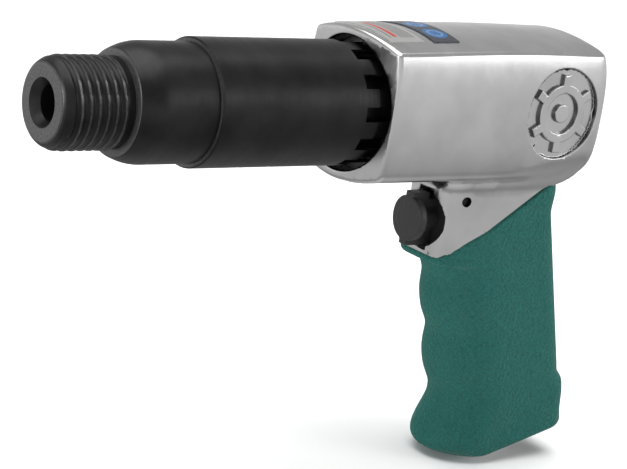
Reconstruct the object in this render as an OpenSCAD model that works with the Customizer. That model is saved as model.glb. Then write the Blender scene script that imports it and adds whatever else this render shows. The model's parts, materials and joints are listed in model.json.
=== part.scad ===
// Pneumatic rivet gun: short barrel air hammer with a pistol grip.
// Frame: origin on the bore axis where the shank bore's straight wall begins, +X out of the muzzle,
// +Z up, +Y the left side. Stations below are measured from the muzzle face; placed() moves them
// into the frame.

/* [Barrel] */
// Radius of the bore that takes the rivet set's shank
shank_r = 5.15; // [5.05:0.05:5.3]
// Radius of the threaded nose that takes the retainer
nose_r = 13.45; // [13.2:0.05:13.6]
// Distance between the crests of the nose thread
nose_pitch = 2.8; // [2.6:0.1:2.8]
// Radius of the bore that the piston runs in
piston_bore_r = 9.5; // [9.3:0.1:9.9]

/* [Exhaust sleeve] */
// Outside radius of the exhaust sleeve
sleeve_r = 19; // [18.6:0.1:19.6]
// How many exhaust notches the sleeve has
notch_count = 12; // [6:1:14]
// Width of one exhaust notch
notch_w = 4.5; // [3:0.1:5]

/* [Housing] */
// Depth of the round recess on each side of the head
recess_depth = 1.8; // [1:0.1:2.2]
// Radius of the round recess
recess_r = 14.45; // [13:0.05:14.9]

/* [Handle] */
// Rearward rake of the handle in degrees
rake = 14; // [13:0.5:15]
// Half of the grip's thickness
grip_half = 15.5; // [15.2:0.1:16.2]
// Thickness of the rubber over the handle core
rubber_t = 2.5; // [2:0.1:3]

/* [Trigger] */
// Radius of the trigger's finger pad
pad_r = 7.3; // [6.8:0.1:8]
// Travel of the trigger
trigger_travel = 5; // [3:0.25:5]

/* [Air inlet] */
// Radius of the threaded inlet bore
inlet_r = 5.75; // [5.5:0.05:6]

/* [Hidden] */
$fn = 96;
eps = 0.01;
run_gap = 0.05;

// Stations along the bore axis, from the muzzle back
first_groove_x = -4.2;
thread_x = -20;
step_x = -22.5;
ogive_x = -31;
sleeve_x = -47.5;
lip_end_x = -55.5;
notch_x = -98.8;
tooth_x = -103.5;
sleeve_end_x = -111;
seat_ring_t = 2;
mouth_x = -104;
barrel_end_x = -162;
plate_t = 3;
cap_len = 20;
cushion_t = 3;
chamber_end_x = barrel_end_x - plate_t - cap_len - cushion_t;
head_end_x = -197.4;

// Barrel
barrel_r = 17.6;
neck_r = 16.5;
tube_r = 15.5;
screw_r = 16;
screw_x = -126;
mouth_r = 7;
mouth_len = 2.6;
shank_end_x = -38;
cone_end_x = -43;
port_r = 2;
port_x = -101;
groove_r = 1.15;
groove_depth = 1;
groove_count = 6;
ring_wire = 0.75;
ring_slot = 0.95;
sleeve_ring_x = -51.5;
collar = [[10.9, 0], [11.9, -0.7], [12.9, -2.3]];
relief_r = 13;
ogive = [[15.6, step_x - 0.2], [16.1, -24], [16.75, -26.3], [17.5, -29.6]];

// Sleeve
sleeve_in = 17.3;
tooth_r = 18.3;
notch_phase = 2.5;
sleeve_edge = 0.5;

// Head: the crown slopes down both ways from crown_x, by two slopes in degrees
crown_r = 58.5;
crown_x = -157;
crown_z = 24.55;
crown_slope = [1.4, -0.8];
crown_reach = 80;
belly_r = 57;
belly_z = -23.4;
side_r = 91;
side_y = 23;
front_r = 98;
rear_r = 36.4;
rear_z = 1.6;
corner_r = 10.3;
mouth_bore = 20.5;
mouth_edge = 1.2;
valve_r = 15;
recess_x = -174.8;
recess_z = 1.6;
recess_rim_y = side_y - 0.25;
recess_floor = recess_rim_y - recess_depth;
motif_h = 1.2;
motif_ring = [9.5, 6.4];
hub_r = 3;
spoke_count = 6;
spoke_w = 3.2;
spoke_reach = [8.8, 12.6];

// Handle, in its own raked frame: u forward, w up
handle_x = -168.5;
handle_z = -40;
nose_u = 6.5;
rear_u = -14.3;
rear_corner = 8;
base_w = -76.3;
heel_w = -58;
heel_out = 3.2;
core_pull = 2.5;
handle_top = 22;
block_len = 22;
block_half = 11.5;
block_top = 6;
toe_w = -69.8;
toe_wire = 6.5;
toe_reach = 21.2;
finger_r = 12;
finger_w = [-33.2, -56];
finger_u = [32, 31.7];
inlet_u = -10;
passage_r = 4.5;
bushing_r = 8.5;
bushing_top = 18.3;
flange_t = 3;
flange_af = 19;
screen_r = 4.8;
screen_len = 8;
screen_wall = 0.8;
screen_hole_r = 0.55;
screen_hole_at = [2.4, 1.6];
thread_len = 10;
inlet_ring_w = 14;
inlet_ring_slot = 0.9;

// Shoulder round the trigger
face_x = -143.5;
face_half = 4.6;
face_corner = 8;
face_low = -48.5;
shoulder_half = 14.5;
edge_rear_x = -182;
edge_rear_z = -23.3;
edge_angle = atan2(edge_rear_z - face_low, face_x - edge_rear_x);
lip_out = 0.5;
lip_t = 2.5;

// Trigger and throttle, along X at throttle_z
throttle_z = -37.5;
pad_x = -136.6;
pad_curve = 60;
pad_t = 2.4;
rib_half = 1.85;
rib_top = 8.65;
boss_r = 4;
slide_r = 9.05;
slide_front = -147;
slide_back = -155;
key_half = 3.5;
key_gap = 0.2;
key_top = 9.9;
slide_end_x = -161;
pin_r = 1.25;
pin_x = -150;
pin_z = -29.3;
pin_half = 11.5;
notch_gap = 0.3;
throttle_r = 7;
seat_x = -173;
throttle_end_x = -185.5;
stem_r = 2.5;
seat_bore = 4.2;
oring_wire = 0.65;
oring_x = [-163.7, -171.6];
stem_ring_x = -162.4;
head_front = -174.2;
head_back = -177;
spring_r = 3.6;
spring_wire = 0.4;
spring_turns = 3;
feed_r = 3;
feed_x = -168.5;
valve_head_r = 5.6;
tail_r = 2.2;
tail_len = 2;
seal_r = 5.4;
seal_gap = 0.1;
side_port_r = 1.4;

// Piston and automatic valve
piston_len = 38;
piston_back = -160;
disc_r = 8;
disc_t = 1.6;
disc_back = -167.7;
cavity_x = -167.8;
core_bore = 4;
core_end_x = -176;
annulus_in = 12.6;
dowel_r = 1.25;
dowel_pcr = 10.6;

// Labels on the crown: front x, rear x, low y, high y
label_t = 0.3;
rating_box = [-107.8, -120.3, -14.2, 14.2];
symbol_box = [-124.2, -134, -14.5, 14.5];

// Moves from the muzzle face to the frame's origin
module placed() {
    translate([mouth_len, 0, 0]) children();
}

// A round bar along X from x0 to x1
module bar_x(r, x0, x1) {
    translate([min(x0, x1), 0, 0]) rotate([0, 90, 0]) cylinder(r = r, h = abs(x1 - x0));
}

// The same bar on the throttle axis
module throttle_bar(r, x0, x1) {
    translate([0, 0, throttle_z]) bar_x(r, x0, x1);
}

// A ring of round wire about X
module ring_x(x, mid_r, wire) {
    translate([x, 0, 0]) rotate([0, 90, 0]) rotate_extrude() translate([mid_r, 0]) circle(r = wire);
}

// Turns a profile of radius and x about X
module turned(points) {
    rotate([0, 90, 0]) rotate_extrude() polygon(points);
}

// Puts its children in the handle's raked frame
module raked() {
    translate([handle_x, 0, handle_z]) rotate([0, rake, 0]) children();
}

// ---- head ----
module head_shape() {
    intersection() {
        crown_bar(crown_r, crown_slope[0]);
        crown_bar(crown_r, crown_slope[1]);
        head_bar(belly_r, [0, belly_z + belly_r]);
        head_side(1);
        head_side(-1);
        translate([mouth_x - front_r, 0, -side_y * 2]) cylinder(r = front_r, h = side_y * 4, $fn = 240);
        rotate([90, 0, 0]) linear_extrude(side_y * 4, center = true) {
            translate([head_end_x + rear_r, -side_y * 2]) square([-head_end_x, side_y * 4]);
            translate([head_end_x + rear_r, rear_z]) circle(r = rear_r);
        }
        translate([0, 0, -side_y * 2]) linear_extrude(side_y * 4) {
            translate([head_end_x + corner_r, -side_y * 2]) square([-head_end_x, side_y * 4]);
            translate([head_end_x, corner_r - side_y]) square([corner_r * 2, (side_y - corner_r) * 2]);
            for (s = [-1, 1])
                translate([head_end_x + corner_r, s * (side_y - corner_r)]) circle(r = corner_r);
        }
    }
}

// A long cylinder along X whose axis passes through y, z
module head_bar(r, yz) {
    translate([head_end_x - 1, yz[0], yz[1]]) rotate([0, 90, 0]) cylinder(r = r, h = 110, $fn = 240);
}

// A long cylinder under the crown, tilted by slope
module crown_bar(r, slope) {
    translate([crown_x, 0, crown_z - crown_r]) rotate([0, slope, 0])
        bar_x(r, -crown_reach, crown_reach, $fn = 240);
}

// The crowned side of the head
module head_side(s) {
    head_bar(side_r, [s * (side_y - side_r), 0]);
}

// ---- handle ----
// The handle's section, grown outward, with its nose pulled back
module handle_section(grow, pull = 0) {
    half = grip_half + grow;
    corner = rear_corner + grow;
    translate([nose_u - pull, 0]) circle(r = half);
    translate([rear_u, -half]) square([nose_u - pull - rear_u, half * 2]);
    for (s = [-1, 1])
        translate([rear_u, s * (grip_half - rear_corner)]) circle(r = corner);
    translate([rear_u - corner, rear_corner - grip_half])
        square([corner, (grip_half - rear_corner) * 2]);
}

// Everything under the sloping line where the rubber ends
module below_edge() {
    translate([face_x, 0, face_low]) rotate([0, edge_angle, 0])
        translate([-120, -40, -120]) cube([160, 80, 120]);
}

// The shoulder from above, grown outward: a flat face with round corners, widening to the rear
module shoulder_plan(grow) {
    wide = shoulder_half + grow;
    corner = face_corner + grow;
    polygon([[face_x + grow, face_half], [face_x - face_corner, face_half + corner],
             [face_x - 15, wide], [edge_rear_x - 6, wide],
             [edge_rear_x - 6, -wide], [face_x - 15, -wide],
             [face_x - face_corner, -face_half - corner], [face_x + grow, -face_half]]);
    for (s = [-1, 1])
        translate([face_x - face_corner, s * face_half]) circle(r = corner);
}

module core_shape() {
    difference() {
        translate([0, 0, face_low]) linear_extrude(belly_z - face_low + block_top) shoulder_plan(0);
        below_edge();
    }
    translate([0, 0, face_low]) linear_extrude(belly_z - face_low + block_top) intersection() {
        shoulder_plan(0);
        translate([face_x - block_len, -block_half]) square([block_len, block_half * 2]);
    }
    raked() translate([0, 0, base_w]) linear_extrude(handle_top - base_w)
        handle_section(-rubber_t, core_pull);
}

// A raised ring with six short spokes on the recess floor
module emblem() {
    translate([recess_x, recess_floor - eps, recess_z]) rotate([-90, 0, 0]) {
        difference() {
            cylinder(r = motif_ring[0], h = motif_h);
            translate([0, 0, -1]) cylinder(r = motif_ring[1], h = motif_h + 2);
        }
        for (k = [0:spoke_count - 1]) rotate([0, 0, k * 360 / spoke_count])
            translate([-spoke_w / 2, spoke_reach[0], 0])
                cube([spoke_w, spoke_reach[1] - spoke_reach[0], motif_h]);
        cylinder(r = hub_r, h = motif_h);
    }
}

module throttle_bores() {
    throttle_bar(slide_r, slide_end_x, face_x + 1);
    translate([slide_end_x, -key_half, throttle_z - key_top])
        cube([face_x + 1 - slide_end_x, key_half * 2, key_top * 2]);
    throttle_bar(throttle_r, throttle_end_x, slide_end_x + 1);
    translate([feed_x, 0, throttle_z]) cylinder(r = feed_r, h = -throttle_z - valve_r + 3);
    translate([pin_x, 0, pin_z]) rotate([90, 0, 0])
        cylinder(r = pin_r, h = shoulder_half * 2 + 4, center = true);
}

module inlet_bores() {
    raked() translate([inlet_u, 0, 0]) {
        translate([0, 0, base_w]) cylinder(r = passage_r, h = -base_w);
        translate([0, 0, base_w - 1]) cylinder(r = bushing_r, h = bushing_top + 1);
    }
}

module housing() {
    color("silver") placed() {
        difference() {
            union() {
                head_shape();
                core_shape();
            }
            bar_x(mouth_bore, sleeve_end_x - seat_ring_t, 0);
            turned([[0, mouth_x - 3], [mouth_bore, mouth_x - 3 - mouth_edge],
                    [mouth_bore + mouth_edge + 3, mouth_x], [mouth_bore + mouth_edge + 3, 0], [0, 0]]);
            bar_x(screw_r, barrel_end_x, 0);
            bar_x(valve_r, chamber_end_x, 0);
            throttle_bores();
            inlet_bores();
            for (s = [0, 1]) mirror([0, s, 0])
                translate([recess_x, recess_floor, recess_z]) rotate([-90, 0, 0])
                    cylinder(r = recess_r, h = side_y);
        }
        for (s = [0, 1]) mirror([0, s, 0]) emblem();
    }
}

module grip_outer() {
    intersection() {
        union() {
            raked() translate([0, 0, base_w]) linear_extrude(handle_top - base_w) handle_section(0);
            raked() translate([-heel_out, 0, base_w]) linear_extrude(heel_w - base_w) handle_section(0);
            translate([0, 0, face_low - lip_t]) linear_extrude(30) shoulder_plan(lip_out);
            raked() translate([nose_u, 0, toe_w]) intersection() {
                rotate_extrude() translate([toe_reach - toe_wire, 0]) circle(r = toe_wire);
                translate([0, -grip_half, -toe_wire]) cube([toe_reach, grip_half * 2, toe_wire * 2]);
            }
        }
        below_edge();
    }
}

module grip_sleeve() {
    color("teal") placed() difference() {
        grip_outer();
        core_shape();
        head_shape();
        for (k = [0:1])
            raked() translate([finger_u[k], 0, finger_w[k]]) rotate([90, 0, 0])
                cylinder(r = finger_r, h = grip_half * 3, center = true);
    }
}

// ---- barrel ----
module barrel() {
    color("dimgray") placed() difference() {
        turned([[mouth_r, 0], each collar, [nose_r, first_groove_x], [nose_r, thread_x],
                [relief_r, thread_x - 0.4], [relief_r, step_x], each ogive,
                [barrel_r, ogive_x], [barrel_r, sleeve_x], [neck_r, sleeve_x],
                [neck_r, lip_end_x], [tube_r, lip_end_x - 1], [tube_r, screw_x],
                [screw_r, screw_x], [screw_r, barrel_end_x], [piston_bore_r, barrel_end_x],
                [piston_bore_r, cone_end_x], [shank_r, shank_end_x], [shank_r, -mouth_len]]);
        for (k = [0:groove_count - 1])
            ring_x(first_groove_x - nose_pitch * k, nose_r - groove_depth + groove_r, groove_r);
        difference() {
            bar_x(neck_r + 1, sleeve_ring_x - ring_slot, sleeve_ring_x + ring_slot);
            bar_x(neck_r - ring_wire * 2, sleeve_ring_x - 1, sleeve_ring_x + 1);
        }
        for (k = [0:5]) rotate([k * 60, 0, 0])
            translate([port_x, 0, 0]) cylinder(r = port_r, h = sleeve_r);
    }
}

module exhaust_sleeve() {
    color("dimgray") placed() difference() {
        turned([[neck_r, sleeve_x], [sleeve_r - sleeve_edge, sleeve_x], [sleeve_r, sleeve_x - sleeve_edge],
                [sleeve_r, tooth_x], [tooth_r, tooth_x], [tooth_r, sleeve_end_x],
                [sleeve_in, sleeve_end_x], [sleeve_in, lip_end_x], [neck_r, lip_end_x]]);
        for (k = [0:notch_count - 1])
            rotate([notch_phase + k * 360 / notch_count, 0, 0])
                translate([sleeve_end_x - 1, neck_r - 2, -notch_w / 2])
                    cube([notch_x - sleeve_end_x + 1, sleeve_r, notch_w]);
    }
}

module seat_ring() {
    color("gray") placed() difference() {
        bar_x(mouth_bore - 0.1, sleeve_end_x - seat_ring_t, sleeve_end_x);
        bar_x(tube_r + 0.1, sleeve_end_x - seat_ring_t - 1, sleeve_end_x + 1);
    }
}

module sleeve_oring() {
    color("black") placed() ring_x(sleeve_ring_x, neck_r - ring_wire, ring_wire);
}

// ---- piston and automatic valve ----
module piston() {
    front = piston_back + piston_len;
    r = piston_bore_r - run_gap;
    color("silver") placed() turned([[0, piston_back], [r - 1, piston_back], [r, piston_back + 1],
        [r, front - 3], [r - 2, front], [0, front]]);
}

module valve_seat() {
    color("darkgray") placed() difference() {
        bar_x(valve_r, barrel_end_x - plate_t, barrel_end_x);
        bar_x(core_bore - 1, barrel_end_x - plate_t - 1, barrel_end_x + 1);
        dowels();
    }
}

module valve_disc() {
    color("silver") placed() bar_x(disc_r, disc_back, disc_back + disc_t);
}

module valve_cap() {
    back = barrel_end_x - plate_t - cap_len;
    color("darkgray") placed() difference() {
        turned([[0, back], [valve_r, back], [valve_r, feed_x - feed_r], [annulus_in, feed_x - feed_r],
                [annulus_in, feed_x + feed_r - 1], [valve_r, feed_x + feed_r - 1],
                [valve_r, barrel_end_x - plate_t], [0, barrel_end_x - plate_t]]);
        bar_x(disc_r + run_gap, cavity_x, barrel_end_x);
        bar_x(core_bore, core_end_x, barrel_end_x);
        for (k = [0:5]) rotate([k * 60, 0, 0])
            translate([feed_x - 1, 0, 0]) cylinder(r = side_port_r, h = valve_r + 1);
        dowels();
    }
}

module dowels() {
    for (a = [30, 210]) rotate([a, 0, 0]) translate([0, 0, dowel_pcr])
        bar_x(dowel_r, core_end_x + 2, barrel_end_x - 0.5);
}

module valve_dowels() {
    color("silver") placed() dowels();
}

module end_cushion() {
    color("black") placed() difference() {
        bar_x(valve_r, chamber_end_x, chamber_end_x + cushion_t);
        bar_x(valve_r / 2, chamber_end_x - 1, chamber_end_x + cushion_t + 1);
    }
}

// ---- trigger ----
module trigger() {
    color([0.13, 0.13, 0.14]) placed() difference() {
        union() {
            intersection() {
                throttle_bar(pad_r, pad_x - pad_t - 0.6, pad_x + 1);
                translate([pad_x - pad_curve, 0, throttle_z - pad_r * 2])
                    cylinder(r = pad_curve, h = pad_r * 4, $fn = 240);
            }
            translate([slide_front - 1, -rib_half, throttle_z - rib_top])
                cube([pad_x - slide_front + 0.9, rib_half * 2, rib_top * 2]);
            throttle_bar(boss_r, pad_x - 1, slide_front - 1);
            throttle_bar(slide_r - run_gap - 0.03, slide_back, slide_front);
            translate([slide_back, key_gap - key_half, throttle_z - key_top + key_gap])
                cube([slide_front - slide_back, (key_half - key_gap) * 2, (key_top - key_gap) * 2]);
        }
        translate([pin_x - pin_r - notch_gap, -slide_r - 1, pin_z - pin_r - notch_gap])
            cube([pin_r * 2 + notch_gap * 2 + trigger_travel, slide_r * 2 + 2, pin_r * 2 + 4]);
    }
}

module trigger_pin() {
    color("silver") placed() translate([pin_x, 0, pin_z]) rotate([90, 0, 0])
        cylinder(r = pin_r, h = pin_half * 2, center = true);
}

// ---- throttle ----
module throttle_bushing() {
    color("goldenrod") placed() difference() {
        throttle_bar(throttle_r, seat_x, slide_end_x);
        throttle_bar(stem_r + run_gap, seat_x - 1, slide_end_x + 1);
        throttle_bar(seat_bore, seat_x - 1, feed_x + 2);
        throttle_bar(stem_r + 1.5, stem_ring_x - 0.8, stem_ring_x + 0.8);
        translate([0, 0, throttle_z]) {
            outer_groove(feed_x - 1.6, feed_x + 1.6, throttle_r - 1.2);
            for (x = oring_x) outer_groove(x - 0.7, x + 0.7, throttle_r - 1.3);
            for (k = [0:3]) rotate([k * 90, 0, 0])
                translate([feed_x, 0, 0]) cylinder(r = side_port_r, h = throttle_r + 1);
        }
    }
}

// A groove turned into the outside of the throttle bushing
module outer_groove(x0, x1, r) {
    turned([[r, x0], [throttle_r + 1, x0], [throttle_r + 1, x1], [r, x1]]);
}

module bushing_orings() {
    color("black") placed() translate([0, 0, throttle_z])
        for (x = oring_x) ring_x(x, throttle_r - oring_wire, oring_wire);
}

module stem_oring() {
    color("black") placed() translate([0, 0, throttle_z])
        ring_x(stem_ring_x, stem_r + run_gap + 0.7, 0.7);
}

module throttle_valve() {
    color("silver") placed() {
        throttle_bar(stem_r, head_front, slide_back - seal_gap);
        throttle_bar(valve_head_r, head_back, head_front);
        throttle_bar(tail_r, head_back - tail_len, head_back);
    }
}

module throttle_seal() {
    color("black") placed() difference() {
        throttle_bar(seal_r, head_front, seat_x - seal_gap);
        throttle_bar(stem_r, head_front - 1, seat_x + 1);
    }
}

// A coil: the flat section across a round wire, swept up the axis with a twist
module throttle_spring() {
    len = head_back - throttle_end_x;
    spread = 360 * spring_wire * spring_turns / len;
    color("gray") placed() translate([throttle_end_x, 0, throttle_z]) rotate([0, 90, 0])
        linear_extrude(len, twist = -360 * spring_turns, slices = 20 * spring_turns, segments = 18)
            polygon([for (a = [0:20:340])
                (spring_r + spring_wire * sin(a)) * [cos(spread * cos(a)), sin(spread * cos(a))]]);
}

// ---- air inlet ----
module inlet_bushing() {
    color("gray") placed() raked() translate([inlet_u, 0, base_w]) difference() {
        union() {
            cylinder(r = bushing_r, h = bushing_top);
            translate([0, 0, -flange_t]) cylinder(r = flange_af / sqrt(3), h = flange_t, $fn = 6);
        }
        translate([0, 0, -flange_t - 1]) cylinder(r = inlet_r, h = flange_t + 1 + thread_len);
        translate([0, 0, -flange_t - 1]) cylinder(r = screen_r, h = bushing_top + flange_t + 2);
        translate([0, 0, inlet_ring_w]) rotate_extrude()
            translate([bushing_r - ring_wire * 2, -inlet_ring_slot]) square([3, inlet_ring_slot * 2]);
    }
}

module inlet_oring() {
    color("black") placed() raked() translate([inlet_u, 0, base_w + inlet_ring_w])
        rotate_extrude() translate([bushing_r - ring_wire, 0]) circle(r = ring_wire);
}

module inlet_screen() {
    foot_w = base_w + bushing_top - screen_len;
    color("silver") placed() raked() translate([inlet_u, 0, foot_w]) difference() {
        cylinder(r = screen_r, h = screen_len);
        translate([0, 0, -1]) cylinder(r = screen_r - screen_wall, h = screen_len);
        for (k = [0:5], j = [0:1])
            rotate([0, 0, k * 60 + j * 30]) translate([screen_hole_at[j], 0, 0])
                cylinder(r = screen_hole_r, h = screen_len + 1);
    }
}

// ---- labels ----
module crown_label(box) {
    intersection() {
        difference() {
            crown_bar(crown_r + label_t, crown_slope[0]);
            crown_bar(crown_r, crown_slope[0]);
        }
        translate([box[1], box[2], 0]) cube([box[0] - box[1], box[3] - box[2], crown_z + 5]);
    }
}

module rating_label() {
    color("white") placed() crown_label(rating_box);
}

module symbol_label() {
    color([0.2, 0.22, 0.25]) placed() crown_label(symbol_box);
}

housing();
grip_sleeve();
barrel();
exhaust_sleeve();
seat_ring();
sleeve_oring();
piston();
valve_seat();
valve_disc();
valve_cap();
valve_dowels();
end_cushion();
trigger();
trigger_pin();
throttle_bushing();
bushing_orings();
stem_oring();
throttle_valve();
throttle_seal();
throttle_spring();
inlet_bushing();
inlet_oring();
inlet_screen();
rating_label();
symbol_label();
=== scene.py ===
"""Looks of the pneumatic rivet gun. Shapes are worked out in millimetres from the muzzle face, and placed
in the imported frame, whose origin lies MOUTH behind that face."""
import json
import math
import bpy
import numpy as np
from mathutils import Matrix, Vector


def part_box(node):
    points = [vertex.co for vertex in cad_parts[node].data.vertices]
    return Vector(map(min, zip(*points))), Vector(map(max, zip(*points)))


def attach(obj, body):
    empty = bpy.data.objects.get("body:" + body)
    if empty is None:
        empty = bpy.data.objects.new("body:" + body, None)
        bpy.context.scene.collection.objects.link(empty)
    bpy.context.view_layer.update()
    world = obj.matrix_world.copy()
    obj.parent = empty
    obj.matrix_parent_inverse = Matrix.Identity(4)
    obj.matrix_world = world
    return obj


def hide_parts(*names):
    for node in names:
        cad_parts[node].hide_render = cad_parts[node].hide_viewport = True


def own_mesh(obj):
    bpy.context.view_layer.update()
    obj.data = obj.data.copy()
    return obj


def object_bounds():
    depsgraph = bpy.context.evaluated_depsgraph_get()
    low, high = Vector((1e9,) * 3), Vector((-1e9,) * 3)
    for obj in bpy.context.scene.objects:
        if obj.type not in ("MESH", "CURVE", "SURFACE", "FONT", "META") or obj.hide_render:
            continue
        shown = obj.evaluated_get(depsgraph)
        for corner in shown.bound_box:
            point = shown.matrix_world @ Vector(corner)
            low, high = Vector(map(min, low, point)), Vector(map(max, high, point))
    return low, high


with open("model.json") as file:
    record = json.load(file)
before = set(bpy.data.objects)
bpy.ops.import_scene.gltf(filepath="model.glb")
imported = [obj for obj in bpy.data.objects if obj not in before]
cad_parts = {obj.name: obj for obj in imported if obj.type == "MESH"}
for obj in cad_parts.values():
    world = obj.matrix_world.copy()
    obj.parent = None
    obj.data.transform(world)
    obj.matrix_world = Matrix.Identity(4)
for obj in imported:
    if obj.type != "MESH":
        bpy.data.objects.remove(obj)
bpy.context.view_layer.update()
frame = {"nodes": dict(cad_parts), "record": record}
import openvdb
from mathutils import Matrix, Vector

nodes = frame["nodes"]

MM = 0.001
MOUTH = 2.6

# ---- sizes in millimetres: X and Z are stations, R radii, W and U heights and depths on the handle ----
# The barrel, its threaded nose, O-ring groove and bore
BARREL_R, NECK_R, TUBE_R, SCREW_R = 17.6, 16.5, 15.5, 16.0
NOSE_R, PITCH, GROOVE_R, GROOVE_DEPTH = 13.45, 2.8, 1.15, 1.0
FIRST_GROOVE, THREAD_BACK, STEP_X, OGIVE_X = -4.2, -20.0, -22.5, -31.0
SLEEVE_X, LIP_END_X, SCREW_X, BARREL_END_X = -47.5, -55.5, -126.0, -162.0
ORING_FRONT, ORING_BACK, ORING_DEPTH = -50.55, -52.45, 1.5
BORE_R, BORE_END_X, SHANK_R, SHANK_END_X = 9.5, -43.0, 5.15, -38.0
# The head's crown, belly, sides, front, rear and bores
CROWN_R, CROWN_X, CROWN_Z, SLOPES = 58.5, -157.0, 24.55, (math.radians(1.4), math.radians(-0.8))
BELLY_R, BELLY_Z, SIDE_R, SIDE_Y = 57.0, -23.4, 91.0, 23.0
HEAD_FRONT, FRONT_R, HEAD_END, MOUTH_BORE, SEAT_X = -104.0, 98.0, -197.4, 20.5, -113.0
REAR_R, REAR_Z, CORNER_R = 36.4, 1.6, 10.3
CHAMBER_R, CHAMBER_END = 15.0, -188.0
# The round recess on each side, and its raised motif
RECESS_X, RECESS_Z, RECESS_R, RECESS_FLOOR = -174.8, 1.6, 14.45, 20.95
RING_R, RING_HALF, HUB_R = 7.95, 1.5, 3.0
SPOKE_R, SPOKE_HALF, SPOKE_SIDE, SPOKE_PAIRS = 10.7, 1.9, 1.55, 3
# The shoulder round the trigger, and the block below it
FACE_X, FACE_LOW, FACE_HALF, FACE_CORNER, SHOULDER = -143.5, -48.5, 4.6, 8.0, 14.5
FLARE, BLOCK_HALF, BLOCK_BACK = 15.0, 11.5, -165.5
UNDERLAP, HEAD_CUT = 1.5, -53.0
# The throttle's bores, the cross pin, the push button and the return spring
THROTTLE_Z, SLIDE_R, SLIDE_END, STEM_BORE = -37.5, 9.05, -161.0, 7.0
SLOT_HALF, SLOT_REACH = 3.5, 9.9
PIN_X, PIN_Z, PIN_R, PIN_ROOM = -150.0, -29.3, 1.35, 1.55
PAD_X, PAD_CURVE, PAD_R, PAD_BACK = -136.6, 60.0, 7.3, -139.6
RIB_HALF, RIB_REACH, BOSS_R, BOSS_X, BOSS_BACK = 1.85, 8.65, 4.0, -137.0, -148.0
BUTTON_R, KEY_HALF, KEY_REACH, BUTTON_X, BUTTON_BACK = 8.95, 3.3, 9.7, -147.0, -155.0
SPRING_BACK, SPRING_FRONT, TRIGGER_TRAVEL = -185.5, -177.0, 5.0
# The handle's core, the air inlet and the rubber
HANDLE_X, HANDLE_Z, RAKE = -168.5, -40.0, math.radians(14)
GRIP_HALF, RUBBER, BASE_W, CORE_TOP = 15.5, 2.5, -76.3, 22.0
CORE_NOSE, CORE_BACK, GRIP_BACK, BACK_HALF, BACK_R = 4.0, -14.3, -13.3, 7.5, 8.0
INLET_U, INLET_R, INLET_DEPTH, PASSAGE_R = -10.0, 8.5, 18.3, 4.5
GRIP_REACH, TOE, HEEL, LEAN = 22.0, 5.8, 2.1, 1.9
# Each finger's valley down the front: its height on the handle, half width and depth
VALLEYS = ((-13.5, 4.5, 1.4), (-33.6, 5.3, 2.0), (-55.5, 6.0, 2.3))
EDGE_REAR_X, EDGE_REAR_Z = -182.0, -23.3
LIP, LIP_BACK, LIP_FALL, GRIP_TOP = 0.5, -168.0, 2.4, -23.6


# ---- distance fields: negative inside, in millimetres ----
def hyp(a, b):
    """The long side over the two short sides a and b."""
    return np.sqrt(a * a + b * b)


def both(a, b, r):
    """The overlap of two solids, its edge rounded to radius r."""
    corner = hyp(np.maximum(a + r, 0), np.maximum(b + r, 0))
    return np.minimum(-r, np.maximum(a, b)) + corner


def joined(a, b, r):
    """Two solids together, with a fillet of radius r between them."""
    corner = hyp(np.maximum(r - a, 0), np.maximum(r - b, 0))
    return np.maximum(r, np.minimum(a, b)) - corner


def cut(a, b, r):
    """Solid a with b taken away, its rim rounded to radius r."""
    return both(a, -b, r)


def bar(y, z, x, r, x_back):
    """A bore along X of radius r that is open to the front and ends at x_back."""
    return np.maximum(hyp(y, z) - r, x_back - x)


def ramp(v, a, b):
    """0 at a and 1 at b, smooth between them."""
    t = np.clip((v - a) / (b - a), 0, 1)
    return t * t * (3 - 2 * t)


def raked(x, z):
    """The handle's own axes: u forward, w up."""
    dx, dz = x - HANDLE_X, z - HANDLE_Z
    return (dx * math.cos(RAKE) - dz * math.sin(RAKE), dx * math.sin(RAKE) + dz * math.cos(RAKE))


def blend(a, b, width):
    """The greater of two nearly parallel fields, their meeting line smoothed."""
    near = np.maximum(width - np.abs(a - b), 0) / width
    return np.maximum(a, b) + near * near * width / 4


def crown(x, y, z, slope_angle):
    """The crown's long round bar, tilted by one of its two slopes."""
    height = (x - CROWN_X) * math.sin(slope_angle) + (z - CROWN_Z + CROWN_R) * math.cos(slope_angle)
    return hyp(y, height) - CROWN_R


def head(x, y, z):
    """The solid head, before its bores."""
    side_y = np.abs(y)
    top = blend(crown(x, y, z, SLOPES[0]), crown(x, y, z, SLOPES[1]), 0.6)
    bottom = hyp(y, z - (BELLY_Z + BELLY_R)) - BELLY_R
    side = hyp(side_y + SIDE_R - SIDE_Y, z) - SIDE_R
    arc = hyp(np.minimum(x - HEAD_END - REAR_R, 0), z - REAR_Z) - REAR_R
    flat_half = SIDE_Y - CORNER_R
    corner = hyp(np.minimum(x - HEAD_END - CORNER_R, 0), np.maximum(side_y - flat_half, 0)) - CORNER_R
    front = hyp(x - HEAD_FRONT + FRONT_R, y) - FRONT_R
    d = both(both(top, side, 0.9), bottom, 2.0 + 6.2 * ramp(-x, 150, 195))
    d = both(d, both(arc, corner, 5.0), 1.5)
    return both(d, front, 1.3)


def edge_side(x, z):
    """Distance below the sloping line where the rubber ends."""
    run, fall = EDGE_REAR_X - FACE_X, EDGE_REAR_Z - FACE_LOW
    length = math.hypot(run, fall)
    return ((x - FACE_X) * -fall + (z - FACE_LOW) * run) / length


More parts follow.
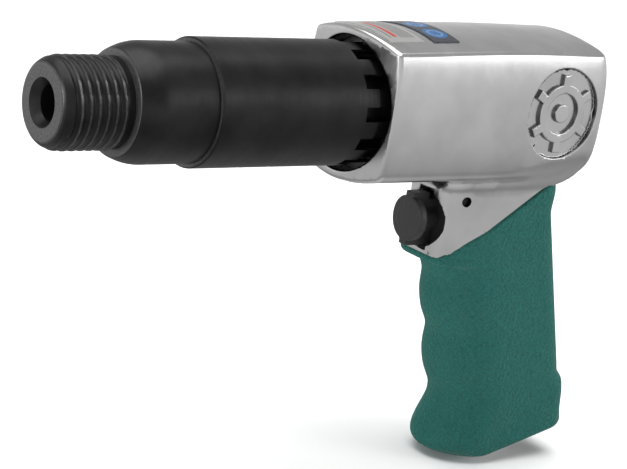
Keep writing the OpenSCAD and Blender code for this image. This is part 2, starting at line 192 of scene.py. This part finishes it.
def shoulder_plan(x, y):
    """The shoulder's outline from above: a flat face with round corners, widening to the rear."""
    side_y = np.abs(y)
    rise, run = SHOULDER - FACE_HALF - FACE_CORNER, FLARE - FACE_CORNER
    flank = ((x - FACE_X + FLARE) * rise + (side_y - SHOULDER) * run) / math.hypot(rise, run)
    corner = hyp(np.maximum(x - FACE_X + FACE_CORNER, 0), np.maximum(side_y - FACE_HALF, 0)) - FACE_CORNER
    return np.maximum(np.where(x > FACE_X - FACE_CORNER, corner, flank), side_y - SHOULDER)


def shoulder(x, y, z, below):
    """The metal round the trigger, running on under the rubber's edge by the length below."""
    d = both(shoulder_plan(x, y), x - FACE_X, 0.7)
    d = np.maximum(d, np.maximum(-190 - x, z + 12))
    return np.maximum(d, edge_side(x, z) - below)


def handle(u, y, front_u, back_u, thinner):
    """The handle's section: a round front, and a back with rounded corners."""
    front = hyp(np.maximum(u - front_u, 0), y) - GRIP_HALF
    back = hyp(np.minimum(u - back_u, 0), np.maximum(np.abs(y) - BACK_HALF, 0)) - BACK_R
    return np.maximum(front, back) + thinner


def core(x, y, z):
    """The metal inside the rubber: the handle's core, and a block below the trigger."""
    u, w = raked(x, z)
    d = handle(u, y, CORE_NOSE, CORE_BACK, RUBBER)
    d = np.maximum(d, np.maximum(BASE_W - w, w - CORE_TOP))
    block = np.maximum(BLOCK_BACK - x, FACE_LOW - z)
    block = np.maximum(shoulder_plan(x, y), np.maximum(np.abs(y) - BLOCK_HALF, block))
    return np.minimum(d, np.maximum(block, z + 20))


def housing_skin(x, y, z, below):
    """The casting's outside, its metal running on under the rubber by the length below."""
    d = joined(head(x, y, z), shoulder(x, y, z, below), 4.5)
    return np.minimum(d, core(x, y, z))


def emblem(x, y, z):
    """A raised ring with six short spokes round a hub."""
    dx, dz = x - RECESS_X, z - RECESS_Z
    radius = hyp(dx, dz)
    d = np.minimum(np.abs(radius - RING_R) - RING_HALF, radius - HUB_R)
    for k in range(SPOKE_PAIRS):
        turn = k * math.pi / SPOKE_PAIRS
        c, s = math.cos(turn), math.sin(turn)
        along, across = np.abs(dx * s + dz * c), np.abs(dx * c - dz * s)
        d = np.minimum(d, np.maximum(np.abs(along - SPOKE_R) - SPOKE_HALF, across - SPOKE_SIDE))
    return both(d, np.abs(np.abs(y) - RECESS_FLOOR - 0.3) - 0.85, 0.35)


def inlet_bore(x, y, z):
    """The air passage up the handle, and the wider bore for the inlet bushing at its foot."""
    u, w = raked(x, z)
    away = hyp(u - INLET_U, y)
    passage = np.maximum(away - PASSAGE_R, w)
    return np.minimum(passage, np.maximum(away - INLET_R, w - BASE_W - INLET_DEPTH))


def housing(x, y, z):
    """The casting with its mouth, recesses and bores."""
    d = housing_skin(x, y, z, UNDERLAP)
    d = cut(d, bar(y, z, x, MOUTH_BORE, SEAT_X), 0.7)
    recess = np.maximum(hyp(x - RECESS_X, z - RECESS_Z) - RECESS_R, RECESS_FLOOR - np.abs(y))
    d = cut(d, recess, 0.45)
    d = cut(d, bar(y, z, x, SCREW_R, BARREL_END_X), 0.1)
    d = cut(d, bar(y, z, x, CHAMBER_R, CHAMBER_END), 0.1)
    drop = z - THROTTLE_Z
    d = cut(d, bar(y, drop, x, SLIDE_R, SLIDE_END), 0.4)
    slot = np.maximum(np.maximum(np.abs(y) - SLOT_HALF, np.abs(drop) - SLOT_REACH), SLIDE_END - x)
    d = cut(d, slot, 0.3)
    d = cut(d, bar(y, drop, x, STEM_BORE, SPRING_BACK), 0.1)
    d = cut(d, hyp(x - PIN_X, z - PIN_Z) - PIN_R, 0.2)
    return cut(d, inlet_bore(x, y, z), 0.1)


def grip_front(w):
    """How far forward the grip's front reaches: three finger valleys and a toe."""
    reach = GRIP_REACH
    for middle, width, depth in VALLEYS:
        reach = reach - depth * np.exp(-((w - middle) / width) ** 2)
    return reach + TOE * ramp(w, -59, -70.5) * (1 - 0.4 * ramp(w, -71, -76))


def grip(x, y, z):
    """The rubber: leaning back, a heel behind, a lip over the block below the trigger."""
    u, w = raked(x, z)
    heel = HEEL * ramp(w, -55.5, -61) - 1.1 * ramp(w, -63, -72) + 2.2 * ramp(w, 1, 10)
    lean = LEAN * np.clip(-w / 53, 0, 1)
    d = handle(u, y, grip_front(w) - GRIP_HALF, GRIP_BACK - lean - heel, 0)
    d = both(d, BASE_W - w, 2.3 + 3.7 * ramp(u, 12, 22))
    lip = both(shoulder_plan(x, y) - LIP, x - FACE_X - LIP, 0.8)
    lip = both(np.maximum(lip, LIP_BACK - x), FACE_LOW - LIP_FALL - z, 1.6)
    d = joined(d, lip, 2.5 * ramp(x, -160, -152) + 0.01)
    d = both(d, -edge_side(x, z), 0.8)
    d = both(d, z - GRIP_TOP, 0.8)
    d = np.maximum(d, 0.12 - head(x, y, z))
    return np.maximum(d, 0.06 - housing_skin(x, y, z, 0.0))


def trigger(x, y, z):
    """The push button: a ribbed pad on a boss, and a keyed slide that is notched for the pin."""
    drop = z - THROTTLE_Z
    side_y, side_z = np.abs(y), np.abs(drop)
    away = hyp(y, drop)
    face = hyp(x - PAD_X + PAD_CURVE, y) - PAD_CURVE
    pad = both(both(away - PAD_R, face, 0.6), PAD_BACK - x, 0.5)
    rib = both(np.maximum(side_y - RIB_HALF, side_z - RIB_REACH), face + 0.15, 0.3)
    rib = np.maximum(rib, BOSS_BACK - x)
    boss = np.maximum(away - BOSS_R, np.maximum(x - BOSS_X, BOSS_BACK - x))
    slide = np.minimum(away - BUTTON_R, np.maximum(side_y - KEY_HALF, side_z - KEY_REACH))
    slide = np.maximum(slide, np.maximum(x - BUTTON_X, BUTTON_BACK - x))
    d = np.minimum(joined(joined(pad, rib, 0.4), boss, 0.8), slide)
    notch = np.maximum(x - PIN_X - PIN_ROOM - TRIGGER_TRAVEL, PIN_X - PIN_ROOM - x)
    notch = np.maximum(PIN_Z - PIN_ROOM - z, notch)
    return np.maximum(d, -notch)


def hidden_core(x, y, z):
    """The casting below the cast_head piece, all of it inside the rubber."""
    return np.maximum(housing(x, y, z), z - HEAD_CUT)


# ---- meshes ----
def to_frame(points):
    """Millimetres from the muzzle face to metres in the frame."""
    return (np.asarray(points, float) + [MOUTH, 0, 0]) * MM


def new_mesh(name, points, faces):
    mesh = bpy.data.meshes.new(name)
    mesh.from_pydata(to_frame(points).tolist(), [], faces)
    mesh.validate()
    mesh.shade_smooth()
    piece = bpy.data.objects.new(name, mesh)
    bpy.context.scene.collection.objects.link(piece)
    return piece


def slope(field, p):
    """The field's unit gradient and its value at the points p."""
    step = 0.02
    value = field(p[:, 0], p[:, 1], p[:, 2])
    grad = np.empty_like(p)
    for axis in range(3):
        q = p.copy()
        q[:, axis] += step
        grad[:, axis] = (field(q[:, 0], q[:, 1], q[:, 2]) - value) / step
    size = np.linalg.norm(grad, axis=1)
    return grad / np.maximum(size, 1e-6)[:, None], value / np.maximum(size, 0.3)


def carved(name, field, low, high, step, adaptivity=0.0):
    """A mesh of the surface where the field is zero, with the field's own normals.

    It is closed unless the box from low to high cuts through the solid."""
    ticks = [np.arange(a, b + step, step, dtype=np.float32) for a, b in zip(low, high)]
    x, y, z = np.meshgrid(*ticks, indexing="ij", sparse=True)
    values = np.clip(field(x, y, z), -2 * step, 2 * step).astype(np.float32)
    grid = openvdb.FloatGrid(2 * step)
    grid.copyFromArray(np.ascontiguousarray(values))
    points, triangles, quads = grid.convertToPolygons(0.0, adaptivity)
    p = points.astype(float) * step + np.array(low)
    for _ in range(2):
        normal, off = slope(field, p)
        p -= normal * np.clip(off, -step / 2, step / 2)[:, None]
    normal, _ = slope(field, p)
    a, b, c = (p[quads[:, k]] for k in (0, 1, 2))
    turned = np.sum(np.cross(b - a, c - a) * normal[quads[:, 0]]) < 0
    faces = [f[::-1] if turned else f for f in quads.tolist() + triangles.tolist()]
    piece = new_mesh(name, p, faces)
    piece.data.normals_split_custom_set_from_vertices(normal.tolist())
    return piece


def lathe(name, outline, reach, segments):
    """A closed outline of (x, r, threaded) turned about X; reach gives r at each angle."""
    x, r, threaded = (np.array(v, float) for v in zip(*outline))
    angle = np.arange(segments) * 2 * math.pi / segments
    radius = reach(x[:, None], r[:, None], threaded[:, None], angle[None, :])
    points = np.stack([np.broadcast_to(x[:, None], radius.shape), radius * np.cos(angle),
                       radius * np.sin(angle)], axis=2).reshape(-1, 3)
    faces = []
    for i in range(len(x)):
        j = (i + 1) % len(x)
        for k in range(segments):
            m = (k + 1) % segments
            faces.append((i * segments + k, i * segments + m, j * segments + m, j * segments + k))
    piece = new_mesh(name, points, faces)
    piece.data.set_sharp_from_angle(angle=math.radians(32))
    return piece


def barrel_reach(x, r, threaded, angle):
    """The radius with the helical round groove of the nose thread taken off."""
    turn = (x - FIRST_GROOVE) / PITCH - angle / (2 * math.pi)
    across = PITCH * (turn - np.round(turn))
    depth = np.sqrt(np.maximum(GROOVE_R ** 2 - across ** 2, 0)) - (GROOVE_R - GROOVE_DEPTH)
    depth = np.maximum(depth, 0) * ramp(x, THREAD_BACK - 0.5, THREAD_BACK + 0.6)
    return np.where(threaded > 0, np.minimum(r, NOSE_R - depth), r)


def barrel_outline():
    """The barrel's closed outline: mouth, threaded nose, neck, ogive, tube, then back along the bore."""
    nose = [(0, 10.9), (-0.25, 11.35), (-0.7, 11.9), (-1.4, 12.4), (-2.3, 12.9), (-3.2, 13.2)]
    nose += [(FIRST_GROOVE, NOSE_R)]
    steps = np.arange(-0.8, THREAD_BACK, -0.14)
    outline = [(-MOUTH, SHANK_R, 0), (-0.12, 6.92, 0), (0, 7.05, 0), (0, 10.5, 0)]
    outline += [(x, r, 0) for x, r in nose[:3]]
    reach = np.interp(-steps, [-x for x, _ in nose], [r for _, r in nose])
    outline += [(x, r, 1) for x, r in zip(steps, reach)]
    outline += [(THREAD_BACK, NOSE_R, 1), (THREAD_BACK - 0.25, 13.15, 0), (THREAD_BACK - 0.5, 13.0, 0)]
    outline += [(STEP_X + 0.2, 13.0, 0), (STEP_X, 13.2, 0), (STEP_X, 15.1, 0), (STEP_X - 0.12, 15.38, 0)]
    outline += [(x, BARREL_R - 0.031 * (x - OGIVE_X) ** 2, 0) for x in np.arange(-22.8, OGIVE_X, -0.5)]
    outline += [(OGIVE_X, BARREL_R, 0), (SLEEVE_X, BARREL_R, 0), (SLEEVE_X, NECK_R, 0)]
    outline += [(ORING_FRONT, NECK_R, 0), (ORING_FRONT, NECK_R - ORING_DEPTH, 0)]
    outline += [(ORING_BACK, NECK_R - ORING_DEPTH, 0), (ORING_BACK, NECK_R, 0)]
    outline += [(LIP_END_X, NECK_R, 0), (LIP_END_X - 1, TUBE_R, 0), (SCREW_X, TUBE_R, 0)]
    outline += [(SCREW_X, SCREW_R, 0), (BARREL_END_X, SCREW_R, 0), (BARREL_END_X, BORE_R, 0)]
    outline += [(BORE_END_X, BORE_R, 0), (SHANK_END_X, SHANK_R, 0)]
    return outline


def coil_spring(name, x_back, x_front, middle_r, wire, turns):
    """A round wire wound about the throttle's axis, its two ends closed."""
    sides, rings = 10, 32 * turns + 1
    along = np.linspace(0, 1, rings)[:, None]
    angle = along * 2 * math.pi * turns
    round_wire = np.arange(sides)[None, :] * 2 * math.pi / sides
    x = x_back + wire + (x_front - x_back - 2 * wire) * along + wire * np.cos(round_wire)
    radius = middle_r + wire * np.sin(round_wire)
    y, z = radius * np.cos(angle), THROTTLE_Z + radius * np.sin(angle)
    points = np.stack([x, y, z], axis=2).reshape(-1, 3)
    faces = [tuple(range(sides)), tuple(range(rings * sides - 1, (rings - 1) * sides - 1, -1))]
    for i in range(rings - 1):
        for k in range(sides):
            m = (k + 1) % sides
            faces.append((i * sides + m, i * sides + k, (i + 1) * sides + k, (i + 1) * sides + m))
    return new_mesh(name, points, faces)


# ---- materials ----
def shader(name, color, metallic, roughness, **sockets):
    """A new material with its nodes, links and main shader."""
    material = bpy.data.materials.new(name)
    material.use_nodes = True
    main = material.node_tree.nodes["Principled BSDF"]
    main.inputs["Base Color"].default_value = (*color, 1)
    main.inputs["Metallic"].default_value = metallic
    main.inputs["Roughness"].default_value = roughness
    for key, value in sockets.items():
        main.inputs[key.replace("_", " ")].default_value = value
    return material, material.node_tree.nodes, material.node_tree.links, main


def stretched(n, links, scale):
    """Object coordinates stretched by scale, in repeats per metre."""
    where = n.new("ShaderNodeTexCoord")
    mapping = n.new("ShaderNodeMapping")
    mapping.inputs["Scale"].default_value = scale
    links.new(where.outputs["Object"], mapping.inputs["Vector"])
    return mapping.outputs["Vector"]


def noise(n, links, scale, detail=3.0, rough=0.5):
    """Cloudy noise, stretched by scale."""
    texture = n.new("ShaderNodeTexNoise")
    texture.inputs["Scale"].default_value = 1.0
    texture.inputs["Detail"].default_value = detail
    texture.inputs["Roughness"].default_value = rough
    links.new(stretched(n, links, scale), texture.inputs["Vector"])
    return texture.outputs["Fac"]


def spread(n, links, value, low, high, start=0.3, end=0.7):
    """Maps a texture's values onto the range low to high."""
    ranged = n.new("ShaderNodeMapRange")
    ranged.inputs["From Min"].default_value = start
    ranged.inputs["From Max"].default_value = end
    ranged.inputs["To Min"].default_value = low
    ranged.inputs["To Max"].default_value = high
    links.new(value, ranged.inputs["Value"])
    return ranged.outputs["Result"]


def bump(n, links, height, distance, strength=1.0, under=None):
    """A relief of the given depth in metres, laid over another bump where under is given."""
    made = n.new("ShaderNodeBump")
    made.inputs["Distance"].default_value = distance
    made.inputs["Strength"].default_value = strength
    links.new(height, made.inputs["Height"])
    if under:
        links.new(under, made.inputs["Normal"])
    return made.outputs["Normal"]


def tint(n, links, value, dark, light, start=0.3, end=0.7):
    """A colour between dark and light that follows a texture's value."""
    ramp_node = n.new("ShaderNodeValToRGB")
    ramp_node.color_ramp.elements[0].position = start
    ramp_node.color_ramp.elements[1].position = end
    ramp_node.color_ramp.elements[0].color = (*dark, 1)
    ramp_node.color_ramp.elements[1].color = (*light, 1)
    links.new(value, ramp_node.inputs["Fac"])
    return ramp_node.outputs["Color"]


def mixed(n, links, mask, under, over):
    """The colour over laid on the colour under where mask is 1."""
    mix = n.new("ShaderNodeMix")
    mix.data_type = "RGBA"
    links.new(mask, mix.inputs["Factor"])
    for slot, value in ((6, under), (7, over)):
        if isinstance(value, tuple):
            mix.inputs[slot].default_value = (*value, 1)
        else:
            links.new(value, mix.inputs[slot])
    return mix.outputs[2]


def math_node(n, links, kind, a, b=None):
    """A sum, product or comparison of values that are numbers or other nodes' outputs."""
    made = n.new("ShaderNodeMath")
    made.operation = kind
    for k, value in enumerate([a] if b is None else [a, b]):
        if isinstance(value, (int, float)):
            made.inputs[k].default_value = value
        else:
            links.new(value, made.inputs[k])
    return made.outputs[0]


def axes(n, links):
    """The three object coordinates, in metres."""
    where = n.new("ShaderNodeTexCoord")
    split = n.new("ShaderNodeSeparateXYZ")
    links.new(where.outputs["Object"], split.inputs[0])
    return split.outputs


def inside(n, links, value, low, high):
    """1 where the value lies between low and high, 0 elsewhere."""
    above = math_node(n, links, "GREATER_THAN", value, low)
    below = math_node(n, links, "LESS_THAN", value, high)
    return math_node(n, links, "MULTIPLY", above, below)


def smooth_step(n, links, value, start, end):
    """0 at start and 1 at end, smooth between them and level beyond them."""
    made = n.new("ShaderNodeMapRange")
    made.interpolation_type = "SMOOTHSTEP"
    made.inputs["From Min"].default_value = start
    made.inputs["From Max"].default_value = end
    links.new(value, made.inputs["Value"])
    return made.outputs["Result"]


def away_from(n, links, a, b, middle_a, middle_b):
    """Distance, in metres, of the coordinates a, b from a point in their plane."""
    squares = []
    for value, middle in ((a, middle_a), (b, middle_b)):
        gap = math_node(n, links, "SUBTRACT", value, middle)
        squares.append(math_node(n, links, "MULTIPLY", gap, gap))
    return math_node(n, links, "SQRT", math_node(n, links, "ADD", squares[0], squares[1]))


def brushed_metal(name, dark, light, roughness, line, depth, shade=None):
    """Metal with fine lines across X and a faint cloudiness; shade gives a mask of hollows where near-black
    shade is painted.
    """
    material, n, links, main = shader(name, light, 1.0, roughness)
    lines = noise(n, links, (line, line / 40, line / 40), 2.0)
    cloud = noise(n, links, (60, 60, 60), 3.0)
    color = tint(n, links, cloud, dark, light)
    if shade:
        # Painted shade: the hollows are coloured near black in place of the shade that falls in them
        color = mixed(n, links, shade(n, links), color, (0.015, 0.015, 0.015))
    links.new(color, main.inputs["Base Color"])
    links.new(spread(n, links, lines, roughness - 0.03, roughness + 0.05), main.inputs["Roughness"])
    links.new(bump(n, links, lines, depth), main.inputs["Normal"])
    return material


def facing(n, links, kind):
    """The three parts of the surface's direction, from the Geometry output named kind."""
    surface = n.new("ShaderNodeNewGeometry")
    split = n.new("ShaderNodeSeparateXYZ")
    links.new(surface.outputs[kind], split.inputs[0])
    return split.outputs


def painted_shade_hollows(n, links):
    """1 inside the head's mouth and the pin hole, and nearly so on the steep walls of the recesses: where
    shade is painted dark on the metal.
    """
    x, y, z = axes(n, links)
    in_mouth = math_node(n, links, "LESS_THAN", away_from(n, links, y, z, 0, 0), (MOUTH_BORE + 0.4) * MM)
    behind = inside(n, links, x, (SEAT_X - 3 + MOUTH) * MM, (HEAD_FRONT + MOUTH) * MM)
    mask = math_node(n, links, "MULTIPLY", in_mouth, behind)
    pin_away = away_from(n, links, x, z, (PIN_X + MOUTH) * MM, PIN_Z * MM)
    in_hole = math_node(n, links, "LESS_THAN", pin_away, (PIN_R + 0.3) * MM)
    mask = math_node(n, links, "MAXIMUM", mask, in_hole)
    sideways = math_node(n, links, "ABSOLUTE", facing(n, links, "Normal")[1])
    steep = smooth_step(n, links, sideways, 0.93, 0.55)
    disc_away = away_from(n, links, x, z, (RECESS_X + MOUTH) * MM, RECESS_Z * MM)
    disc = math_node(n, links, "LESS_THAN", disc_away, (RECESS_R + 0.25) * MM)
    side_y = math_node(n, links, "ABSOLUTE", y)
    far_out = math_node(n, links, "GREATER_THAN", side_y, (RECESS_FLOOR - 0.6) * MM)
    wall = math_node(n, links, "MULTIPLY", math_node(n, links, "MULTIPLY", steep, disc), far_out)
    return math_node(n, links, "MAXIMUM", mask, math_node(n, links, "MULTIPLY", wall, 0.75))


def black_oxide():
    """Blackened steel with fine turning marks, painted paler on the faces that look forward: painted light
    from the front, together with wear.
    """
    material, n, links, main = shader("black_oxide", (0.02, 0.02, 0.02), 0.8, 0.36)
    rings = noise(n, links, (1700, 14, 14), 3.0, 0.6)
    cloud = noise(n, links, (90, 90, 90), 4.0)
    color = tint(n, links, cloud, (0.018, 0.018, 0.019), (0.034, 0.033, 0.033))
    # Faces that look forward get a paler speckled tone: painted light from the front lamp, and wear on the
    # muzzle face
    front_lit_and_worn = spread(n, links, facing(n, links, "True Normal")[0], 0.0, 1.0, 0.75, 0.97)
    speck = noise(n, links, (1500, 1500, 1500), 3.0)
    lit_worn_tone = tint(n, links, speck, (0.12, 0.12, 0.12), (0.2, 0.2, 0.2))
    links.new(mixed(n, links, front_lit_and_worn, color, lit_worn_tone), main.inputs["Base Color"])
    links.new(spread(n, links, rings, 0.3, 0.44), main.inputs["Roughness"])
    links.new(bump(n, links, rings, 0.00002), main.inputs["Normal"])
    return material


def grained_rubber(name, dark, light):
    """Rubber with a leathery relief and mottled colour."""
    material, n, links, main = shader(name, light, 0.0, 0.62, Specular_IOR_Level=0.4)
    grain = noise(n, links, (1500, 1500, 1500), 2.0, 0.55)
    pebble = n.new("ShaderNodeTexVoronoi")
    pebble.feature = "SMOOTH_F1"
    pebble.inputs["Scale"].default_value = 1.0
    links.new(stretched(n, links, (1100, 1100, 1100)), pebble.inputs["Vector"])
    cloud = noise(n, links, (70, 70, 70), 2.0)
    links.new(tint(n, links, grain, dark, light, 0.32, 0.68), main.inputs["Base Color"])
    links.new(spread(n, links, cloud, 0.55, 0.7), main.inputs["Roughness"])
    under = bump(n, links, pebble.outputs["Distance"], 0.0005, 1.0)
    links.new(bump(n, links, grain, 0.00012, 0.8, under), main.inputs["Normal"])
    return material


def matte(name, dark, light, roughness):
    """Plastic or rubber with a fine speckle."""
    material, n, links, main = shader(name, light, 0.0, roughness)
    speck = noise(n, links, (2200, 2200, 2200), 2.0)
    links.new(tint(n, links, speck, dark, light), main.inputs["Base Color"])
    links.new(spread(n, links, speck, roughness - 0.06, roughness + 0.08), main.inputs["Roughness"])
    links.new(bump(n, links, speck, 0.00003), main.inputs["Normal"])
    return material


def finish_film(n, links, main, color, smoothest):
    """A label's colour and its faint speckle, with roughness from smoothest up."""
    links.new(color, main.inputs["Base Color"])
    speck = noise(n, links, (900, 900, 900), 2.0)
    links.new(spread(n, links, speck, smoothest, smoothest + 0.14), main.inputs["Roughness"])
    links.new(bump(n, links, speck, 0.00001), main.inputs["Normal"])


def rating_film(box):
    """Light film with a red bar and grey rules across the gun. A bar's limits are shares of the label."""
    material, n, links, main = shader("rating_film", (0.7, 0.7, 0.68), 0.0, 0.34)
    x, y, _ = axes(n, links)
    (x0, y0, _), (x1, y1, _) = box
    length, width = x1 - x0, y1 - y0
    color = (0.45, 0.45, 0.44)
    bars = [(0.62, 0.74, 0.12, 0.7, (0.62, 0.05, 0.03))]
    bars += [(a, a + 0.035, 0.1, b, (0.09, 0.09, 0.1)) for a, b in
             ((0.5, 0.86), (0.41, 0.8), (0.32, 0.88), (0.23, 0.7), (0.14, 0.82), (0.84, 0.6))]
    for back_end, front_end, near, far, paint in bars:
        across = inside(n, links, x, x0 + back_end * length, x0 + front_end * length)
        along = inside(n, links, y, y1 - far * width, y1 - near * width)
        color = mixed(n, links, math_node(n, links, "MULTIPLY", across, along), color, paint)
    finish_film(n, links, main, color, 0.28)
    return material


def symbol_film(box):
    """Dark film with two blue discs, each with a paler ring."""
    material, n, links, main = shader("symbol_film", (0.08, 0.09, 0.1), 0.0, 0.3)
    x, y, _ = axes(n, links)
    (x0, y0, _), (x1, y1, _) = box
    middle, radius = (x0 + x1) / 2, (x1 - x0) * 0.4
    color = (0.05, 0.058, 0.07)
    for share in (0.22, 0.56):
        away = away_from(n, links, x, y, middle, y1 - (y1 - y0) * share)
        disc = math_node(n, links, "LESS_THAN", away, radius)
        color = mixed(n, links, disc, color, (0.03, 0.16, 0.42))
        ring = inside(n, links, away, radius * 0.5, radius * 0.68)
        color = mixed(n, links, ring, color, (0.2, 0.34, 0.55))
    finish_film(n, links, main, color, 0.24)
    return material


def wear(piece, material):
    piece.data.materials.clear()
    piece.data.materials.append(material)


def soften(name, width):
    """A small bevel on a CAD node's sharp edges."""
    node = nodes[name]
    bevel = node.modifiers.new("bevel", "BEVEL")
    bevel.width, bevel.segments, bevel.limit_method = width * MM, 2, "ANGLE"
    bevel.angle_limit = math.radians(40)
    bevel.harden_normals = True


# ---- the pieces ----
# The cast aluminium carries painted shade, near black, in its mouth, pin hole and recess walls
polished = brushed_metal("polished_aluminium", (0.66, 0.66, 0.66), (0.80, 0.80, 0.80), 0.22, 2400,
                         0.0000018, painted_shade_hollows)
steel = brushed_metal("ground_steel", (0.42, 0.42, 0.43), (0.56, 0.56, 0.57), 0.3, 2800, 0.000004)
brass = brushed_metal("turned_brass", (0.62, 0.44, 0.19), (0.76, 0.57, 0.28), 0.28, 2600, 0.000004)
oxide = black_oxide()
green = grained_rubber("green_rubber", (0.003, 0.082, 0.068), (0.008, 0.135, 0.113))
plastic = matte("black_plastic", (0.018, 0.018, 0.019), (0.034, 0.034, 0.036), 0.46)
seal = matte("seal_rubber", (0.010, 0.010, 0.010), (0.022, 0.022, 0.022), 0.6)

head_piece = carved("cast_head", housing, (-199.0, -24.5, HEAD_CUT), (-102.5, 24.5, 26), 0.42, 0.02)
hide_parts("housing")
emblem_pieces = [carved("emblem_" + side, emblem, (-188.0, low_y, -11.6), (-161.6, high_y, 14.8), 0.2, 0.02)
                 for side, low_y, high_y in (("left", 19.8, 22.6), ("right", -22.6, -19.8))]
core_piece = carved("handle_core", hidden_core, (-215, -16, -122), (-150, 16, -51), 0.8, 0.02)
grip_piece = carved("moulded_grip", grip, (-217, -17, -123), (-140, 17, -21), 0.5, 0.0)
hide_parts("grip_sleeve")
trigger_piece = carved("push_button", trigger, (-156, -9.6, -48), (-135.4, 9.6, -27), 0.25, 0.0)
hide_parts("trigger")
barrel_piece = lathe("turned_barrel", barrel_outline(), barrel_reach, 160)
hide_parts("barrel")
spring_piece = coil_spring("return_spring", SPRING_BACK, SPRING_FRONT, 3.6, 0.4, 3)
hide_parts("throttle_spring")

for piece, material, body in ((head_piece, polished, "housing"), (core_piece, polished, "housing"),
                              (grip_piece, green, "housing"), (trigger_piece, plastic, "trigger"),
                              (barrel_piece, oxide, "housing"), (spring_piece, steel, "housing")):
    wear(piece, material)
    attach(piece, body)
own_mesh(spring_piece)
for piece in emblem_pieces:
    wear(piece, polished)
    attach(piece, "housing")

finishes = {"cast_aluminium": polished, "green_rubber": green, "black_steel": oxide, "steel": steel,
            "brass": brass, "black_rubber": seal, "black_plastic": plastic,
            "label_white": rating_film(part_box("rating_label")),
            "label_dark": symbol_film(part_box("symbol_label"))}
for entry in frame["record"]["subparts"]:
    material = finishes[entry["material_slot"]]
    node = nodes[entry["node"]]
    for k in range(len(node.material_slots)):
        node.material_slots[k].material = material
soften("exhaust_sleeve", 0.3)


# ---- floor, light and camera ----
def lay_floor(floor_z, reach):
    """A matt white square under the part, on which it casts its soft shadow."""
    mesh = bpy.data.meshes.new("floor")
    corners = [(-reach, -reach, floor_z), (reach, -reach, floor_z), (reach, reach, floor_z),
               (-reach, reach, floor_z)]
    mesh.from_pydata(corners, [], [(0, 1, 2, 3)])
    square = bpy.data.objects.new("floor", mesh)
    bpy.context.scene.collection.objects.link(square)
    wear(square, shader("pale_floor", (0.9, 0.9, 0.9), 0.0, 0.9)[0])
    return square


def studio_world():
    """A grey studio: bright at the horizon and straight below, dimmer between, white to the camera."""
    world = bpy.data.worlds.new("studio")
    world.use_nodes = True
    n, links = world.node_tree.nodes, world.node_tree.links
    where = n.new("ShaderNodeTexCoord")
    split = n.new("ShaderNodeSeparateXYZ")
    links.new(where.outputs["Generated"], split.inputs[0])
    half = math_node(n, links, "MULTIPLY_ADD", split.outputs[2], 0.5)
    half.node.inputs[2].default_value = 0.5
    ramp_node = n.new("ShaderNodeValToRGB")
    # Heights, from 0 straight below to 1 straight above, each with its shade of grey
    shades = ((0.0, 0.6), (0.1, 0.46), (0.16, 0.3), (0.22, 0.27), (0.32, 0.38), (0.4, 0.52), (0.5, 0.74),
              (0.62, 0.5), (0.75, 0.36), (1, 0.4))
    while len(ramp_node.color_ramp.elements) < len(shades):
        ramp_node.color_ramp.elements.new(0.5)
    for element, (height, shade) in zip(ramp_node.color_ramp.elements, shades):
        element.position = height
        element.color = (shade, shade, shade, 1)
    links.new(half, ramp_node.inputs["Fac"])
    seen = n.new("ShaderNodeLightPath")
    color = mixed(n, links, seen.outputs["Is Camera Ray"], ramp_node.outputs["Color"], (1.0, 1.0, 1.0))
    links.new(color, n["Background"].inputs["Color"])
    bpy.context.scene.world = world
    world.cycles_visibility.diffuse = False


def lamp(name, spot, aim, width, height, power):
    """A rectangular lamp at spot that is turned towards aim."""
    data = bpy.data.lights.new(name, "AREA")
    data.shape, data.size, data.size_y, data.energy = "RECTANGLE", width, height, power
    made = bpy.data.objects.new(name, data)
    made.location = spot
    made.rotation_euler = (Vector(aim) - Vector(spot)).to_track_quat("-Z", "Y").to_euler()
    bpy.context.scene.collection.objects.link(made)
    return made


def light_part(middle):
    """Three lamps for everything, and three fills that light only the matt rubber, labels and floor."""
    lamp("side", (-0.96, 0.72, 0.36), middle, 0.8, 0.36, 1.9)
    lamp("overhead", (0.0, -0.1, 1.3), middle, 1.6, 1.6, 18)
    lamp("front", (1.1, 0.15, 0.35), middle, 0.5, 0.6, 4.5)
    for soft in (lamp("fill_rear", (-1.15, 0.75, 0.1), middle, 0.5, 0.7, 8),
                 lamp("fill_front", (1.3, -0.2, 0.0), middle, 0.5, 0.6, 6),
                 lamp("fill_far", (-0.3, -1.3, 0.5), middle, 0.9, 0.9, 4)):
        soft.visible_glossy = False


def light_floor(square):
    """A broad sun that lights the floor alone."""
    sun = bpy.data.lights.new("floor_sun", "SUN")
    sun.energy, sun.angle = 2.2, math.radians(60)
    glow = bpy.data.objects.new("floor_sun", sun)
    bpy.context.scene.collection.objects.link(glow)
    lit_floor = bpy.data.collections.new("lit_floor")
    lit_floor.objects.link(square)
    glow.light_linking.receiver_collection = lit_floor


def aim_camera(azimuth, elevation, roll, spot):
    """The photograph's camera; angles in degrees, azimuth round Z from -Y."""
    data = bpy.data.cameras.new("camera")
    camera = bpy.data.objects.new("camera", data)
    bpy.context.scene.collection.objects.link(camera)
    bpy.context.scene.camera = camera
    data.sensor_width, data.lens = 36, 124.3
    data.clip_start, data.clip_end = 0.01, 20
    azimuth, elevation, roll = math.radians(azimuth), math.radians(elevation), math.radians(roll)
    back = Vector((math.sin(azimuth) * math.cos(elevation), -math.cos(azimuth) * math.cos(elevation),
                   math.sin(elevation)))
    level = Vector((0, 0, 1)).cross(back).normalized()
    right = level * math.cos(roll) + back.cross(level) * math.sin(roll)
    turn = Matrix((right, back.cross(right), back)).transposed().to_4x4()
    camera.matrix_world = Matrix.Translation(spot) @ turn


low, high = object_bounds()
floor = lay_floor(low.z - 0.0005, 4.0)
studio_world()
floor.visible_glossy = False
grip_piece.visible_glossy = False
light_part((low + high) / 2)
light_floor(floor)
aim_camera(141.386, 14.617, 8.676, (0.30184, 0.50095, 0.12556))
bpy.context.scene.view_settings.view_transform = "Standard"
